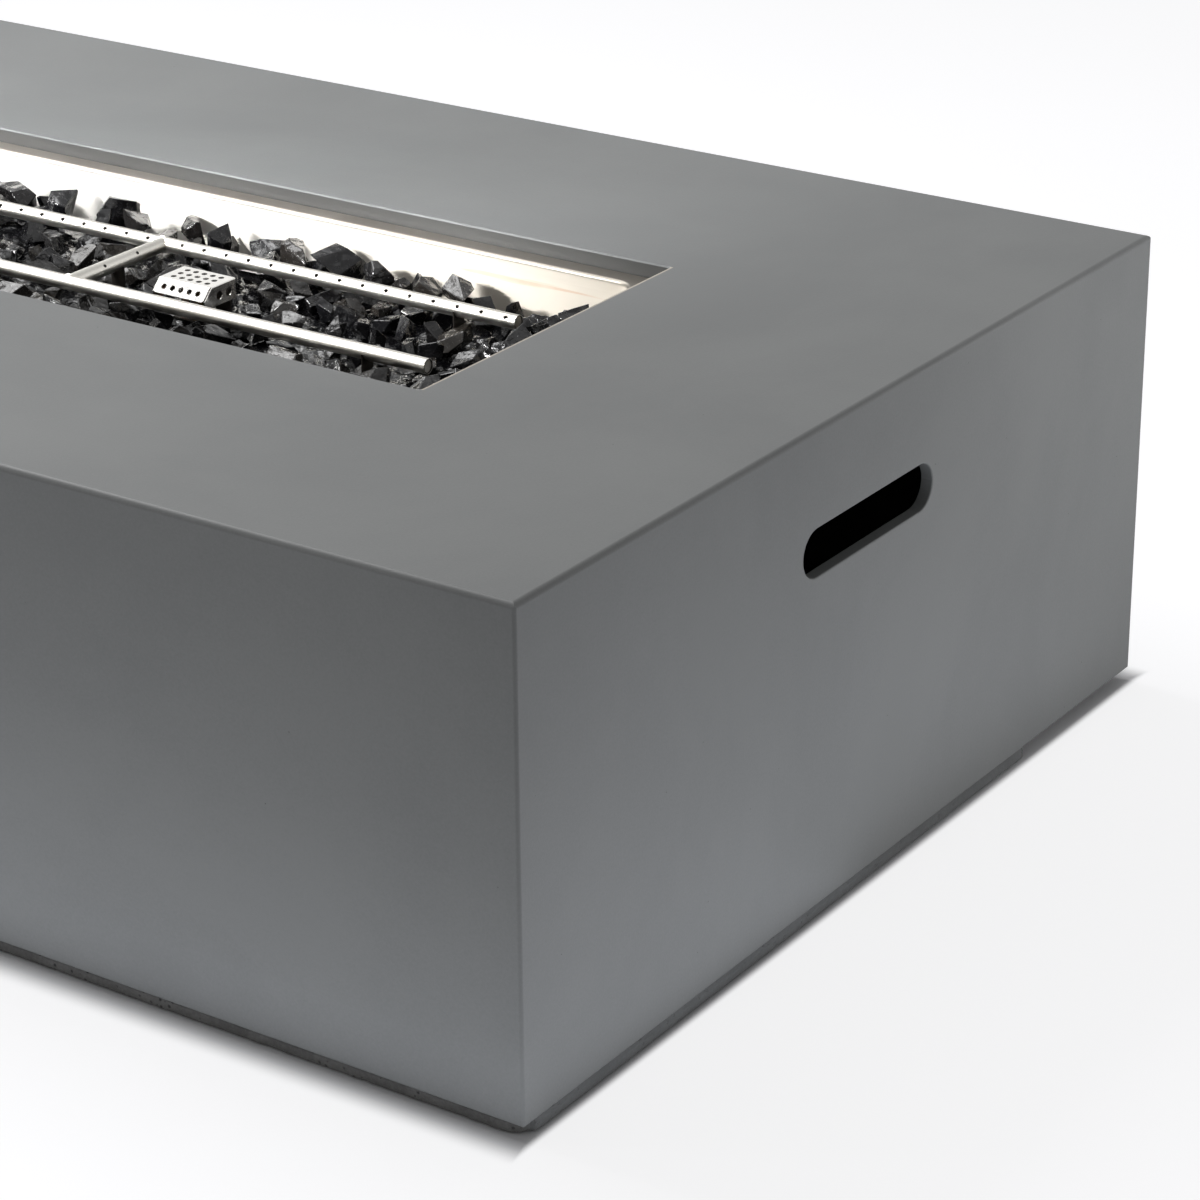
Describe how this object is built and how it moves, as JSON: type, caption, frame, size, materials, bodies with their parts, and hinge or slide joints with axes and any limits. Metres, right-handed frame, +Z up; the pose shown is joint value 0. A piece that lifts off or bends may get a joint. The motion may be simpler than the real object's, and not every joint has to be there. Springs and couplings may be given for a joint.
{
  "type": "fire pit table",
  "caption": "Low rectangular cast concrete gas fire pit table with a rebated burner opening, tube burner in black fire glass, end hand slots and recessed rear controls.",
  "frame": {"origin": "on the ground under the middle of the table", "axes": "+X along the length to the right end, -Y out of the front long side, +Z up; the controls are in the back wall"},
  "size_m": [1.47, 0.914, 0.406],
  "materials": {
    "cast_concrete": "smooth cast concrete, sealed, satin, faintly clouded",
    "rough_concrete": "rough as-cast concrete, matt",
    "bright_steel": "bright stainless sheet",
    "burner_steel": "satin stainless tube and strap",
    "plated_steel": "zinc plated",
    "brass": "machined brass",
    "copper": "bare copper",
    "aluminium_line": "soft drawn aluminium tube",
    "silicone_wire": "silicone sleeved wire",
    "white_ceramic": "glazed white insulator",
    "black_knob": "moulded, semi-gloss",
    "white_mark": "white inlay",
    "black_plastic": "moulded, satin",
    "battery_jacket": "printed-free jacket",
    "braided_hose": "corrugated stainless hose",
    "black_glass": "black broken glass, glossy"
  },
  "bodies": {
    "table": {"air_mixer": "brass", "burner_clamp_nuts": "plated_steel", "burner_cross_tube": "burner_steel", "burner_end_plugs": "burner_steel", "burner_feet": "burner_steel", "burner_hose": "braided_hose", "burner_pan": "bright_steel", "burner_stub": "burner_steel", "burner_tube_front": "burner_steel", "burner_tube_rear": "burner_steel", "concrete_shell": "cast_concrete", "control_box": "bright_steel", "control_box_nuts": "plated_steel", "control_box_studs": "plated_steel", "dial_ring": "burner_steel", "fire_glass": "black_glass", "flare_nuts": "brass", "foot_ring": "rough_concrete", "gas_inlet_fitting": "brass", "gas_inlet_nut": "brass", "gas_jet": "brass", "hose_nuts": "brass", "igniter_battery": "battery_jacket", "igniter_body": "black_plastic", "igniter_nut": "black_plastic", "igniter_spring": "plated_steel", "ignition_wire": "silicone_wire", "pan_nuts": "plated_steel", "pan_rim": "bright_steel", "pan_screws": "plated_steel", "pilot_bracket": "burner_steel", "pilot_burner": "brass", "pilot_gas_line": "aluminium_line", "pilot_shield": "bright_steel", "spark_ceramic": "white_ceramic", "spark_wire": "burner_steel", "stem_spring": "plated_steel", "supply_tube": "aluminium_line", "thermocouple": "copper", "thermocouple_lead": "copper", "valve_body": "brass", "valve_screws": "plated_steel"},
    "plug": {"valve_plug": "brass"},
    "knob": {"control_knob": "black_knob", "knob_marker": "white_mark", "valve_stem": "plated_steel"},
    "button": {"igniter_button": "black_plastic"}
  },
  "joints": [
    {"name": "knob_turn", "type": "hinge", "parent": "table", "child": "plug", "pos_m": [0.18, 0.395, 0.205], "axis": [0, 1, 0], "range_deg": [0, 210]},
    {"name": "knob_push", "type": "slide", "parent": "plug", "child": "knob", "axis": [0, -1, 0], "range_m": [0, 0.0035], "stiffness_N_per_m": 600, "springref_m": -0.006, "deforming": ["stem_spring"]},
    {"name": "button_push", "type": "slide", "parent": "table", "child": "button", "axis": [0, -1, 0], "range_m": [0, 0.0035], "stiffness_N_per_m": 500, "springref_m": -0.005, "deforming": ["igniter_spring"]}
  ]
}
